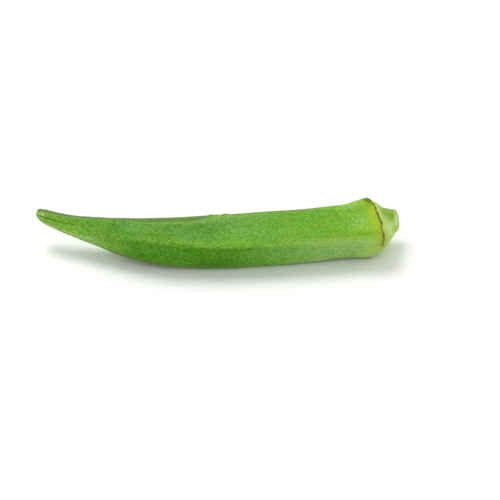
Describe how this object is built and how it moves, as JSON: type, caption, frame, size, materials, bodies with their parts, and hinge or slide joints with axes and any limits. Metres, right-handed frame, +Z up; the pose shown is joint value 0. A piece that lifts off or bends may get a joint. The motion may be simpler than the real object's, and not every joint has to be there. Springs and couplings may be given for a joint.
{
  "type": "okra pod",
  "caption": "Ribbed, tapering green okra pod with a slight sideways bend, a ring below its flared cap and a short cut stem, lying on its side.",
  "frame": {"origin": "on the surface that the pod lies on, under the middle of its bounding box", "axes": "+X along the pod from its point to its stem, +Y towards the hollow side of its bend, +Z up from the surface that it lies on"},
  "size_m": [0.1214, 0.0246, 0.0199],
  "materials": {
    "okra_skin": "matt, finely downy green skin, standing in for plant tissue; paler and yellower on the cap, the stem and the beak's point"
  },
  "bodies": {
    "root": {"okra_pod": "okra_skin"}
  },
  "joints": []
}
